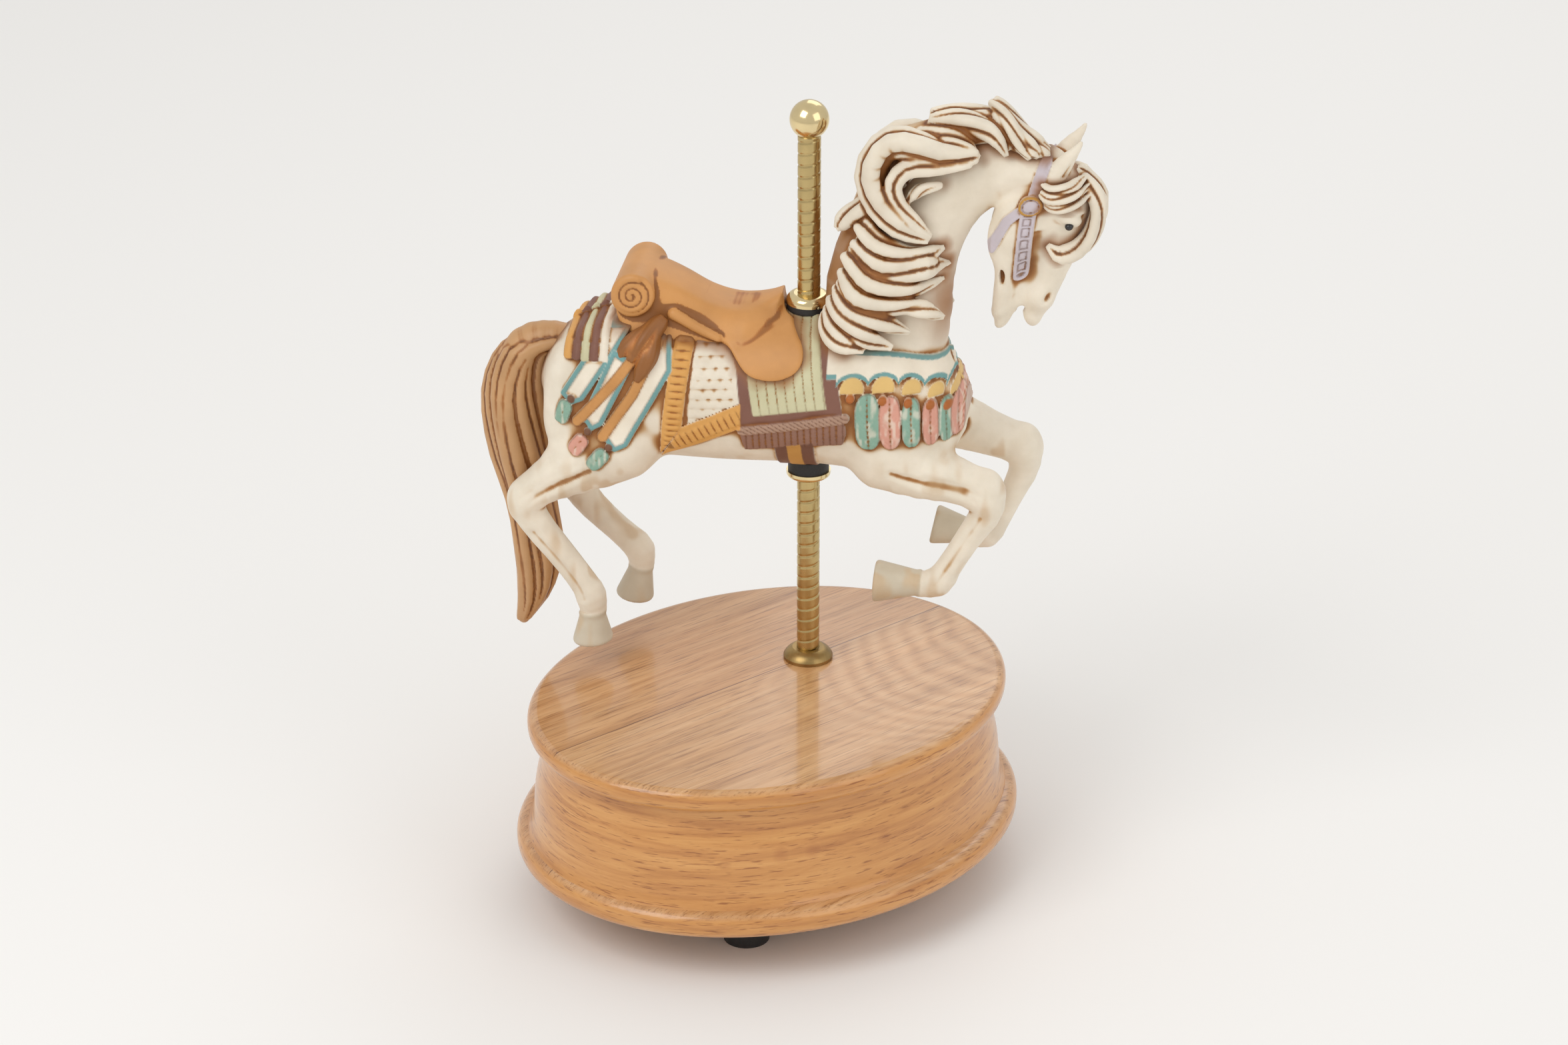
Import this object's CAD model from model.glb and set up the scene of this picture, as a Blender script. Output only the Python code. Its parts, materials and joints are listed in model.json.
import json
import math
import bmesh
import bpy
import numpy as np
import openvdb
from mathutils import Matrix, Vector


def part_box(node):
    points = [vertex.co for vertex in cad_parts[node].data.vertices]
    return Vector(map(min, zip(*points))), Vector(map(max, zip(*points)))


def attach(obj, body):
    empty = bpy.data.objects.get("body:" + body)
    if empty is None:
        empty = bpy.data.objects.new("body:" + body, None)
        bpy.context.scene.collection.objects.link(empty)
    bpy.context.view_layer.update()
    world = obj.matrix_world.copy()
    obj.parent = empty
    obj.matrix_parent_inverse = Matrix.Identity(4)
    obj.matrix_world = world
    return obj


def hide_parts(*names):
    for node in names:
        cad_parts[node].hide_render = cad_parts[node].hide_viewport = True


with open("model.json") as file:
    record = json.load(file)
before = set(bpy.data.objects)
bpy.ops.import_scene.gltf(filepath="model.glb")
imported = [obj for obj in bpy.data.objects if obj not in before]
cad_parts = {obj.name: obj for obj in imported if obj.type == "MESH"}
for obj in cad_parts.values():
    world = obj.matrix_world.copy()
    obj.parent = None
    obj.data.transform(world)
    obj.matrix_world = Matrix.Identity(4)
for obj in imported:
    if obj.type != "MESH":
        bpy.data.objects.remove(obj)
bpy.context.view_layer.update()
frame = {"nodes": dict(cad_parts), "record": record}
MM = 0.001
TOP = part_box("oak_base")[1][2] / MM
POLE_BOX = np.array([list(map(float, corner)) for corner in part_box("pole")])
PLACE = POLE_BOX.mean(axis=0) * (1, 1, 0)
RNG = np.random.default_rng(7)
FINE = 0.5


# ======================= colour =======================
def paint(red, green, blue):
    """An sRGB colour from 0 to 255, as linear light."""
    c = np.array([red, green, blue]) / 255.0
    return np.where(c <= 0.04045, c / 12.92, ((c + 0.055) / 1.055) ** 2.4)


CREAM = paint(238, 229, 212)
WASH = paint(158, 104, 54)
THIN_WASH = paint(206, 172, 128)
DARK_WASH = paint(98, 56, 26)
TEAL = paint(116, 162, 162)
OLIVE = paint(208, 204, 168)
MAUVE = paint(132, 92, 78)
SADDLE_TAN = paint(210, 152, 90)
FRINGE_ORANGE = paint(222, 166, 92)
YELLOW = paint(226, 190, 122)
PINK = paint(218, 160, 142)
GREEN = paint(142, 178, 160)
LAVENDER = paint(206, 197, 205)
TAIL_TAN = paint(200, 156, 110)
HOOF = paint(208, 198, 178)
GOLD = paint(196, 148, 70)
STUD = paint(178, 104, 48)
BLACK = paint(34, 34, 36)


# ======================= signed distance modelling, in millimetres =======================
def smooth_min(a, b, k):
    h = np.clip(0.5 + 0.5 * (b - a) / k, 0.0, 1.0)
    return b + (a - b) * h - k * h * (1.0 - h)


def smooth_max(a, b, k):
    return -smooth_min(-a, -b, k)


def step_up(value, low, high):
    t = np.clip((value - low) / (high - low), 0.0, 1.0)
    return t * t * (3.0 - 2.0 * t)


def through(points, count=40):
    """A smooth curve through the rows of points, as count rows."""
    p = np.asarray(points, float)
    padded = np.vstack([2 * p[0] - p[1], p, 2 * p[-1] - p[-2]])
    rows = []
    for s in np.linspace(0, len(p) - 1 - 1e-9, count):
        i = int(s)
        t = s - i
        a, b, c, d = padded[i:i + 4]
        rows.append(0.5 * (2 * b + (c - a) * t + (2 * a - 5 * b + 4 * c - d) * t ** 2
                           + (3 * b - a - 3 * c + d) * t ** 3))
    return np.array(rows)


class Field:
    """Signed distance on a regular grid: negative inside."""

    def __init__(self, low, high, pitch):
        self.low = np.array(low, float)
        self.pitch = pitch
        size = np.ceil((np.array(high, float) - self.low) / pitch).astype(int) + 1
        self.d = np.full(tuple(size), 8.0, np.float32)

    def window(self, low, high):
        a = np.maximum(np.floor((np.asarray(low) - self.low) / self.pitch).astype(int), 0)
        b = np.minimum(np.ceil((np.asarray(high) - self.low) / self.pitch).astype(int) + 1, self.d.shape)
        if (b <= a).any():
            return None, None
        part = tuple(slice(i, j) for i, j in zip(a, b))
        axes = [(self.low[n] + self.pitch * np.arange(a[n], b[n])).astype(np.float32) for n in range(3)]
        return part, np.meshgrid(*axes, indexing="ij", sparse=True)

    def add(self, shape, low, high, k=1.0):
        margin = k + 2.0
        part, grid = self.window(np.asarray(low) - margin, np.asarray(high) + margin)
        if part is not None:
            self.d[part] = smooth_min(self.d[part], shape(*grid), k)

    def cut(self, shape, low, high, k=1.0):
        part, grid = self.window(np.asarray(low) - k - 2, np.asarray(high) + k + 2)
        if part is not None:
            self.d[part] = smooth_max(self.d[part], -shape(*grid), k)

    def rod(self, stations, k=1.0, flat=1.0, cut=False):
        """A chain of round cones; a station is (x, y, z, radius). flat squeezes it in y."""
        s = np.asarray(stations, float)
        reach = s[:, 3].max()
        shape = lambda x, y, z: rod_distance(x, y, z, s, flat)
        low, high = s[:, :3].min(0) - reach, s[:, :3].max(0) + reach
        (self.cut if cut else self.add)(shape, low, high, k)

    def ball(self, centre, radii, k=1.0, cut=False, tilt=0.0):
        """An ellipsoid; tilt turns it about y, in degrees."""
        c, r = np.array(centre, float), np.array(radii, float)
        ct, st = math.cos(math.radians(tilt)), math.sin(math.radians(tilt))

        def shape(x, y, z):
            dx, dz = x - c[0], z - c[2]
            u, w = (dx * ct + dz * st) / r[0], (-dx * st + dz * ct) / r[2]
            q = np.sqrt(u * u + ((y - c[1]) / r[1]) ** 2 + w * w)
            return (q - 1.0) * r.min()
        reach = r.max()
        (self.cut if cut else self.add)(shape, c - reach, c + reach, k)

    def sample(self, points):
        g = (np.asarray(points) - self.low) / self.pitch
        g = np.clip(g, 0, np.array(self.d.shape) - 1.001)
        i = g.astype(int)
        f = g - i
        out = 0.0
        for corner in range(8):
            o = np.array([(corner >> n) & 1 for n in range(3)])
            w = np.prod(np.where(o, f, 1 - f), axis=1)
            j = i + o
            out = out + w * self.d[j[:, 0], j[:, 1], j[:, 2]]
        return out

    def hollows(self, points, reach=1.6):
        """How far each point lies in a hollow: positive in creases, negative on ridges."""
        n = max(1, int(round(reach / self.pitch)))
        soft = np.clip(self.d, -4, 4)
        for axis in range(3):
            total = np.cumsum(soft, axis=axis, dtype=np.float64)
            ahead = np.roll(total, -n, axis)
            behind = np.roll(total, n + 1, axis)
            soft = ((ahead - behind) / (2 * n + 1)).astype(np.float32)
        keep, self.d = self.d, soft
        value = self.sample(points)
        self.d = keep
        return self.sample(points) - value

    def surface(self):
        grid = openvdb.FloatGrid(8.0)
        grid.copyFromArray(self.d)
        points, quads = grid.convertToQuads(0.0)
        return points.astype(float) * self.pitch + self.low, quads


def rod_distance(x, y, z, s, flat=1.0):
    best = None
    for (ax, ay, az, ar), (bx, by, bz, br) in zip(s, s[1:]):
        ux, uy, uz = bx - ax, (by - ay) / flat, bz - az
        length2 = ux * ux + uy * uy + uz * uz + 1e-9
        px, py, pz = x - ax, (y - ay) / flat, z - az
        t = np.clip((px * ux + py * uy + pz * uz) / length2, 0, 1)
        d = np.sqrt((px - t * ux) ** 2 + (py - t * uy) ** 2 + (pz - t * uz) ** 2) - (ar + t * (br - ar))
        best = d if best is None else np.minimum(best, d)
    return best * min(1.0, flat)


def outline_distance(x, z, outline):
    """Signed distance from points to a closed polygon in the x-z plane."""
    p = np.asarray(outline, float)
    best = np.full(np.broadcast(x, z).shape, 1e9)
    inside = np.zeros(best.shape, bool)
    for (ax, az), (bx, bz) in zip(p, np.roll(p, -1, axis=0)):
        ux, uz = bx - ax, bz - az
        wx, wz = x - ax, z - az
        t = np.clip((wx * ux + wz * uz) / (ux * ux + uz * uz + 1e-9), 0, 1)
        best = np.minimum(best, (wx - t * ux) ** 2 + (wz - t * uz) ** 2)
        crosses = ((az > z) != (bz > z)) & (x < ux * (z - az) / (bz - az + 1e-12) + ax)
        inside ^= crosses
    return np.where(inside, -np.sqrt(best), np.sqrt(best))


def line_distance(x, z, line):
    """Distance to an open line in the x-z plane, and how far along it the nearest point is."""
    p = np.asarray(line, float)
    best = np.full(np.broadcast(x, z).shape, 1e9)
    along = np.zeros(best.shape)
    done = 0.0
    for (ax, az), (bx, bz) in zip(p, p[1:]):
        ux, uz = bx - ax, bz - az
        length = math.hypot(ux, uz)
        t = np.clip(((x - ax) * ux + (z - az) * uz) / (length ** 2 + 1e-9), 0, 1)
        d = np.hypot(x - ax - t * ux, z - az - t * uz)
        nearer = d < best
        best = np.where(nearer, d, best)
        along = np.where(nearer, done + t * length, along)
        done += length
    return best, along


def speckle(points, size, seed):
    """Smooth random values between 0 and 1 at points, with blotches of about that size."""
    rng = np.random.default_rng(seed)
    table = rng.random((32, 32, 32))
    g = np.asarray(points) / size
    i = np.floor(g).astype(int)
    f = g - i
    f = f * f * (3 - 2 * f)
    out = 0.0
    for corner in range(8):
        o = np.array([(corner >> n) & 1 for n in range(3)])
        j = (i + o) % 32
        out = out + np.prod(np.where(o, f, 1 - f), axis=1) * table[j[:, 0], j[:, 1], j[:, 2]]
    return out


# ======================= horse: trunk, neck, head and legs =======================
# Heights here count from the base's top face. The horse faces +x; its right side is -y.
TRUNK = through((
    (-96, 112, 6, 6), (-91, 111, 16, 14), (-80, 110.5, 22.5, 21.5), (-60, 110.5, 27, 26),
    (-30, 107, 26.6, 26), (0, 106.6, 27.6, 26.5), (26, 103, 27, 26.5), (42, 101, 23.5, 23.5),
    (52, 98, 16.5, 18), (57.5, 96.5, 7, 9)), 120)


def trunk_distance(x, y, z):
    mid = np.interp(x, TRUNK[:, 0], TRUNK[:, 1])
    tall = np.interp(x, TRUNK[:, 0], TRUNK[:, 2])
    wide = np.interp(x, TRUNK[:, 0], TRUNK[:, 3])
    q = np.sqrt(((z - mid) / tall) ** 2 + (y / wide) ** 2)
    ends = np.maximum(TRUNK[0, 0] - x, x - TRUNK[-1, 0])
    return np.maximum((q - 1.0) * np.minimum(tall, wide), ends)


def build_body(field):
    field.add(trunk_distance, (-98, -30, 70), (60, 30, 142), 1.0)
    for side in (-1, 1):
        field.ball((-74, side * 13, 100), (20, 11, 23), 6, tilt=12)
        field.ball((-70, side * 14, 118), (17, 9, 15), 6)
        field.ball((38, side * 12, 96), (15, 11, 18), 6, tilt=-20)
    # neck, arched forward to the poll
    neck = through(((22, 0, 112, 23), (30, 0, 130, 21), (34, 0, 146, 18), (40, 0, 162, 15.5),
                    (50, 0, 176, 13.5), (64, 0, 185, 12), (80, 0, 187, 10.5)), 14)
    field.rod(neck, 7, 0.72)
    # head: skull, cheeks, bridge, muzzle
    head = through(((84, 0, 188, 9.5), (88, 0, 178, 12.5), (90, 0, 166, 12.5), (89.5, 0, 154, 9.8),
                    (87, 0, 143, 7.6), (84, 0, 135, 7.0)), 12)
    field.rod(head, 4, 0.78)
    for side in (-1, 1):
        field.ball((76, side * 5.5, 163), (11.5, 6.2, 15), 3, tilt=-8)
        field.rod(((73, side * 4.5, 152, 5.2), (71, side * 3, 142, 4.2), (70, side * 2.2, 134, 3.8)), 2.5)
        field.ball((95, side * 8.6, 165), (5.2, 2.8, 3.4), 1.5, tilt=-40)
        field.ball((85.5, side * 5.0, 134), (4.4, 2.8, 4.8), 3.0, tilt=-30)
        field.ball((88.4, side * 7.6, 134.5), (1.6, 2.2, 3.0), 1.0, cut=True, tilt=-35)
        field.ball((82.5, side * 9.2, 149), (1.6, 1.3, 6.0), 3.0, cut=True, tilt=-8)
        field.ball((70.5, side * 6.8, 147), (1.0, 1.6, 4.0), 1.2, cut=True)
        # ear: a leaf with a hollow front
        ear = through(((88.5, side * 7, 181, 3.2), (90, side * 7.8, 188, 4.3), (94, side * 8.6, 196, 3.1),
                       (98.5, side * 9, 203, 0.9)), 8)
        field.rod(ear, 1.2, 0.7)
        field.rod(((93.4, side * 10.2, 187, 1.6), (97.2, side * 10.4, 197, 0.8)), 0.6, cut=True)
    # lips and open mouth
    field.rod(((71, 0, 133, 4.2), (70.5, 0, 128.5, 3.4)), 2.0)
    field.rod(((84, 0, 131, 5.2), (82, 0, 126, 3.8)), 2.0)
    field.rod(((76, 0, 150, 7.0), (77.5, 0, 139, 6.4), (77, 0, 133, 5.0)), 2.5, 0.8)
    field.rod(((76.6, -10, 124, 1.7), (77.2, -7, 128, 1.6), (77.4, 0, 129, 1.6), (77.2, 7, 128, 1.6),
               (76.6, 10, 124, 1.7)), 0.7, cut=True)
    for side in (-1, 1):
        corner = ((77.4, side * 7, 128, 1.1), (78.6, side * 7.4, 132.5, 0.9), (80.6, side * 7, 136, 0.5))
        field.rod(corner, 0.6, cut=True)
        field.ball((97.5, side * 6.6, 168.5), (3.4, 3.0, 1.9), 1.2, tilt=-30)
    build_legs(field)
    # the pole's bore and the flat seats of its two grommets
    post = lambda x, y, z: np.sqrt(x * x + y * y) + 0 * z - 4.4
    field.cut(post, (-5, -5, 60), (5, 5, 160), 0.3)
    seat_top = lambda x, y, z: np.maximum(np.sqrt(x * x + y * y) - 8.4, 134.6 - z)
    field.cut(seat_top, (-9, -9, 134), (9, 9, 150), 0.4)
    seat_low = lambda x, y, z: np.maximum(np.sqrt(x * x + y * y) - 8.4, z - 78.6)
    field.cut(seat_low, (-9, -9, 66), (9, 9, 79), 0.4)


HOOVES = []


def hoof(field, pastern, toe, width):
    """A hoof from the pastern to the toe, flared and cut flat beneath."""
    a, b = np.array(pastern, float), np.array(toe, float)
    run = (b - a) / np.linalg.norm(b - a)

    def shape(x, y, z):
        t = (x - a[0]) * run[0] + (y - a[1]) * run[1] + (z - a[2]) * run[2]
        length = np.linalg.norm(b - a)
        off = np.sqrt(np.maximum((x - a[0]) ** 2 + (y - a[1]) ** 2 + (z - a[2]) ** 2 - t * t, 0))
        radius = width * (0.6 + 0.52 * np.clip(t / length, 0, 1)) + 0.55 * np.exp(-((t - 1.2) / 0.9) ** 2)
        return smooth_max(off - radius, np.abs(t - length / 2) - length / 2, 1.6)
    field.add(shape, np.minimum(a, b) - width * 1.2, np.maximum(a, b) + width * 1.2, 0.5)
    HOOVES.append((a, b, run, width))


def build_legs(field):
    legs = (
        # right hind: stifle, hock drawn back, cannon forward, fetlock
        ([(-66, -14, 92, 15), (-82, -15, 83, 11), (-94, -15.5, 76, 7.8), (-101.5, -15.5, 69.5, 6.6),
          (-97, -15.5, 60, 5.6), (-87, -15.5, 47, 5.0), (-80, -15.5, 37, 5.0), (-77.5, -15.5, 32, 5.6),
          (-76.5, -15.5, 27, 4.8)], (-77, -15.5, 27), (-77, -15.5, 14.5), 6.9),
        # left hind
        ([(-62, 14, 92, 14.5), (-76, 15, 80, 10.5), (-86, 15.5, 71, 7.4), (-89, 15.5, 64, 6.3),
          (-83, 15.5, 54, 5.3), (-72, 15.5, 43, 4.8), (-65, 15.5, 36, 5.4), (-64, 15.5, 30, 4.7)],
         (-64, 15.5, 30), (-67, 15.5, 17), 6.6),
        # right fore: folded back at the knee
        ([(30, -13, 86, 13.5), (44, -14.5, 80, 10.5), (56, -15.5, 76, 8.0), (66, -16, 71.5, 7.2),
          (67.5, -16, 65, 6.2), (61, -16, 55, 5.0), (54, -16, 44, 4.8), (50, -16, 38, 5.6),
          (44, -16, 36.5, 4.6)], (44, -16, 37), (26, -16, 38), 6.8),
        # left fore: held a little higher
        ([(36, 13, 92, 13), (52, 14.5, 86, 10), (66, 15.5, 80, 7.8), (77.5, 16, 75, 7.0),
          (78.5, 16, 67, 6.0), (74, 16, 57, 4.9), (69, 16, 47, 4.6), (65, 16, 41.5, 5.3),
          (60, 16, 41, 4.5)], (60, 16, 41.5), (44, 16, 45), 6.4),
    )
    for stations, pastern, toe, width in legs:
        field.rod(through(stations, 18), 4.0, 0.92)
        hoof(field, pastern, toe, width)
        knee = np.array(stations[3])
        # soft grooves between the muscles of the thigh or forearm, and beside the tendons
        path = through(stations, 30)
        out = np.sign(path[0, 1])
        for first, last, shift, deep in ((2, 12, -0.42, 1.0), (3, 11, 0.34, 0.8), (15, 26, -0.3, 0.6)):
            part = path[first:last]
            swell = np.sin(np.linspace(0.1, math.pi - 0.1, len(part)))
            groove = np.column_stack([part[:, 0] + shift * part[:, 3], part[:, 1] + out * part[:, 3] * 0.95,
                                      part[:, 2], 0.3 + deep * swell])
            field.rod(groove, 2.6, cut=True)
        field.ball(tuple(knee[:3] + [0.5, 0, 0.5]), (knee[3] * 1.03, knee[3] * 0.95, knee[3] * 1.08), 2.5)


# ======================= trappings: thin layers modelled on the trunk =======================
BLANKET = ((-4, 140), (6, 140), (9.5, 131), (12.5, 122), (17, 99.6), (15.5, 94.5), (-19.5, 91.5),
           (-22.5, 108),
           (-24.5, 124), (-14, 134))
OLIVE_FIELD = ((-4, 140), (3, 140), (6.5, 128), (10, 108.5), (-16, 106), (-18.5, 120), (-14, 134))
ROPE = ((-20, 100.2), (-4, 102), (16.4, 105))
WHITE_SCALES = ((-37.5, 134), (-27, 132), (-22.5, 121.5), (-21, 110.5), (-39.5, 102.8))
LEFT_BAND = ((-44.5, 136), (-50.5, 88.5), (-41.5, 102), (-37.5, 135))
LOW_BAND = ((-42, 101.5), (-20.5, 110.5), (-20.5, 101), (-50.5, 87.5))
LEFT_LINE = ((-41, 135), (-46, 92))
LOW_LINE = ((-46, 94), (-20, 106))
STREAMERS = (
    ((-70, 136), (-61, 136), (-77.5, 112), (-81, 110.5), (-85, 113.5)),
    ((-66, 128.5), (-59.5, 124.5), (-70.5, 103), (-74, 101), (-77, 105)),
    ((-47.5, 136), (-46, 122), (-61.5, 95.5), (-65.5, 94), (-69, 98.5), (-55, 122)),
)
STRAPS = (((-55, 131), (-66, 118), (-79.5, 103.5)), ((-51, 130), (-59, 114), (-70, 98.5)))
GIRTH = ((-9, 93), (5, 95), (5, 76), (-9, 76))
COLLAR_TOP = through(((10, 129), (17, 127), (33, 125.5), (48, 121.5), (60, 119)), 12)
COLLAR_LOW = through(((12.5, 116.4), (24, 116.6), (36, 115.8), (47, 113.4), (60, 110)), 12)
SCALLOPS = ((18.5, 5.6), (29.5, 5.4), (39.5, 4.8), (48, 4.2), (55, 3.6))
FEATHERS = ((24.5, 1), (32.5, 0), (40, 1), (46.8, 0), (52.2, 1), (56, 0))
BEADS = ((18.2, 112), (29.5, 111), (38.6, 109.6), (46.5, 108), (52.5, 106.4))
REAR_LEAVES = (((-83, 111), (-86.5, 102), 2.9, 0), ((-76.5, 98), (-82, 91.5), 2.9, 1), ((-68.5, 93.5),
                (-75, 86.5), 3.0, 0))
REAR_BEADS = ((-81.5, 112), (-75.5, 100), (-67.5, 95))


def collar_height(x):
    top, low = (np.interp(x, line[:, 0], line[:, 1]) for line in (COLLAR_TOP, COLLAR_LOW))
    return top, low


def scallop_line(x):
    """Height of the scalloped lower edge of the breast collar at x."""
    low = collar_height(x)[1]
    edge = low + 2.0
    for centre, half in SCALLOPS:
        t = (x - centre) / half
        arch = low + 1.8 - 3.2 * (1 - np.sqrt(np.clip(1 - t * t, 0, 1)))
        edge = np.where(np.abs(t) < 1, arch, edge)
    return edge


def leaf_distance(x, z, tip_a, tip_b, half):
    """Signed distance, near enough, to a pointed leaf between two points, and place across it."""
    a, b = np.array(tip_a, float), np.array(tip_b, float)
    run = b - a
    length = np.linalg.norm(run)
    run = run / length
    t = ((x - a[0]) * run[0] + (z - a[1]) * run[1]) / length
    across = (x - a[0]) * -run[1] + (z - a[1]) * run[0]
    swell = half * np.sqrt(np.clip(1 - (2 * np.clip(t, 0, 1) - 1) ** 4, 0, 1))
    return np.maximum(np.abs(across) - swell, np.maximum(-t, t - 1) * length), across


def side_view(x, z):
    """The x and z of a window's grid points, as two arrays of one shape."""
    shape = (x.shape[0], 1, z.shape[2])
    return np.broadcast_to(x, shape).astype(float), np.broadcast_to(z, shape).astype(float)


def layers(x, z):
    """Each trapping at these points: (signed distance of its outline, thickness, colour key)."""
    out = []
    add = lambda d, t, key, line=0.0: out.append((d, t, key, line))
    spread = 0.0 * x
    furrow = lambda wave, width: step_up(width - np.abs(wave), 0, width)
    # blanket, with planks of olive in a mauve border, rope and fringe
    d = outline_distance(x, z, BLANKET)
    add(d, 0.9 + spread, "mauve")
    ribs = np.sin(x * math.pi / 2.3 + 0.4)
    fringe_zone = step_up(-(z - (100.2 + 0.13 * (x + 20))), 0.3, 1.2)
    add(np.maximum(d, z - (99.4 + 0.13 * (x + 20))), 1.0 + 0.6 * np.abs(ribs) * fringe_zone, "fringe",
        furrow(ribs, 0.5) * fringe_zone)
    plank = step_up(np.abs(((x + 0.16 * (z - 106)) / 3.3) % 1.0 - 0.5), 0.38, 0.5)
    add(outline_distance(x, z, OLIVE_FIELD), 1.3 - 0.7 * plank, "olive", 0.6 * plank)
    rope, along = line_distance(x, z, ROPE)
    twist = np.sin((along + 1.4 * (z - 102)) * math.pi / 2.4)
    add(rope - 1.7, 1.3 + 0.9 * np.abs(twist), "rope", furrow(twist, 0.5))
    # fish-scale panel and its ribbed orange band
    row = z / 3.4
    offset = 0.5 * (np.floor(row) % 2)
    u = ((x / 4.0 + offset) % 1.0 - 0.5) * 2
    v = row % 1.0
    scale_rise = 0.55 * np.clip(1.0 - np.abs(v - 0.35 * (1 - u * u)) * 1.2, 0, 1)
    add(outline_distance(x, z, WHITE_SCALES), 0.35 + scale_rise, "white")
    for outline, line in ((LEFT_BAND, LEFT_LINE), (LOW_BAND, LOW_LINE)):
        near, along = line_distance(x, z, line)
        rib = np.sin(along * math.pi / 2.5)
        middle = step_up(3.0 - near, 0, 0.8)
        add(outline_distance(x, z, outline), 1.0 + 0.7 * np.abs(rib) * middle, "orange",
            furrow(rib, 0.45) * middle)
    # streamers: white with a raised teal edge, tan straps between
    for outline in STREAMERS:
        d = outline_distance(x, z, outline) - 0.7
        add(d, 0.8 + 0.5 * step_up(d, -1.9, -1.3), "streamer", 0.6 * furrow(d + 1.9, 0.5))
    for line in STRAPS:
        near, along = line_distance(x, z, line)
        add(near - 2.0, 1.0 + 0.25 * np.sin(along * 1.9) ** 2, "strap", furrow(near - 2.0, 0.7))
    # rolled blanket over the croup
    roll = np.sin((x + 85.0) * math.pi / 3.4)
    add(np.maximum(np.abs(x + 76.5) - 8.5, 125.5 - z), 1.0 + 0.7 * np.abs(roll), "roll", furrow(roll, 0.3))
    add(outline_distance(x, z, GIRTH), 0.7 + 0.2 * step_up(2.6 - np.abs(x + 2), -0.2, 0.2), "girth")
    # breast collar
    top, low = collar_height(x)
    edge = scallop_line(x)
    zone = 9.5 - x
    add(np.maximum(np.maximum(z - top, edge - z), zone), 0.9 + spread, "collar")
    for centre, half in SCALLOPS:
        under = collar_height(centre)[1] - 2.0
        moon = np.maximum(np.hypot(x - centre, z - under) - (half - 1.4), under - 1.2 - z)
        add(moon, 0.7 + spread, "half_moon")
    for centre, kind in FEATHERS:
        bottom = 93.0 + 0.03 * (centre - 40)
        half = 4.5 * np.interp(centre, (24, 56), (1.0, 0.5))
        head = (centre - 0.5, 113.5 - 0.16 * (centre - 24))
        d, across = leaf_distance(x, z, head, (centre + 0.3, bottom), half)
        barbs = 0.16 * np.sin((z - np.abs(across) * 1.2) * 3.2)
        add(d, 1.4 + barbs - 0.4 * step_up(0.6 - np.abs(across), 0, 0.4),
            "teal_leaf" if kind else "pink_leaf", np.maximum(furrow(d, 0.6), 0.6 * furrow(across, 0.5)))
    for bx, bz in BEADS:
        r = np.hypot(x - bx, z - bz)
        add(r - 1.6, 1.2 + 1.0 * np.sqrt(np.clip(1 - (r / 1.6) ** 2, 0, 1)), "bead")
    for a, b, half, kind in REAR_LEAVES:
        d, across = leaf_distance(x, z, a, b, half)
        add(d, 1.3 - 0.3 * step_up(0.5 - np.abs(across), 0, 0.3) + 0.15 * np.sin(3 * (z - np.abs(across))),
            "pink_leaf" if kind else "teal_leaf", furrow(d, 0.6))
    for bx, bz in REAR_BEADS:
        r = np.hypot(x - bx, z - bz)
        add(r - 1.5, 1.2 + 0.9 * np.sqrt(np.clip(1 - (r / 1.5) ** 2, 0, 1)), "brown_bead")
    return out


def dress(field):
    """Raises the trappings on the finished trunk."""
    for low, high in (((-90, -33, 74), (60, 0.2, 141)), ((-90, -0.2, 74), (60, 33, 141))):
        part, (x, _, z) = field.window(low, high)
        skin = field.d[part]
        raised = skin.copy()
        for outline, thick, _, _ in layers(*side_view(x, z)):
            slab = smooth_max(skin - thick, outline + 0 * skin, 0.5)
            raised = np.minimum(raised, slab.astype(np.float32))
        field.d[part] = raised


def dress_head(field):
    """Bridle straps and the round cheek boss."""
    for side in (-1, 1):
        part, (x, _, z) = field.window((66, min(0, side * 22), 128), (104, max(0, side * 22), 200))
        skin = field.d[part]
        raised = skin
        for outline, thick, _, _ in bridle(*side_view(x, z)):
            raised = np.minimum(raised, smooth_max(skin - thick, outline + 0 * skin, 0.4))
        field.d[part] = raised


BOSS = (81.0, 173.0)


def bridle(x, z):
    out = []
    crown, _ = line_distance(x, z, ((81, 173), (83.5, 184), (86, 194)))
    out.append((crown - 2.3, 0.7 + 0 * x, "lavender", 0.0))
    throat, _ = line_distance(x, z, ((80, 172), (72, 168), (66, 160)))
    out.append((throat - 2.4, 0.7 + 0 * x, "lavender", 0.0))
    cheek, along = line_distance(x, z, ((80.5, 172), (79, 158), (77.5, 144)))
    box = np.maximum(np.abs(along % 4.6 - 2.3) - 1.6, cheek - 1.4)
    frame_line = step_up(0.45 - np.abs(box), 0, 0.3)
    out.append((cheek - 3.0, 1.2 - 0.45 * frame_line, "lavender", frame_line))
    r = np.hypot(x - BOSS[0], z - BOSS[1])
    out.append((r - 4.7, 1.3 + 0.8 * np.sqrt(np.clip(1 - ((r - 3.9) / 0.8) ** 2, 0, 1))
                + 0.7 * np.sqrt(np.clip(1 - (r / 3.0) ** 2, 0, 1)),
                "boss", step_up(0.5 - np.abs(r - 3.2), 0, 0.4)))
    return out


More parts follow.
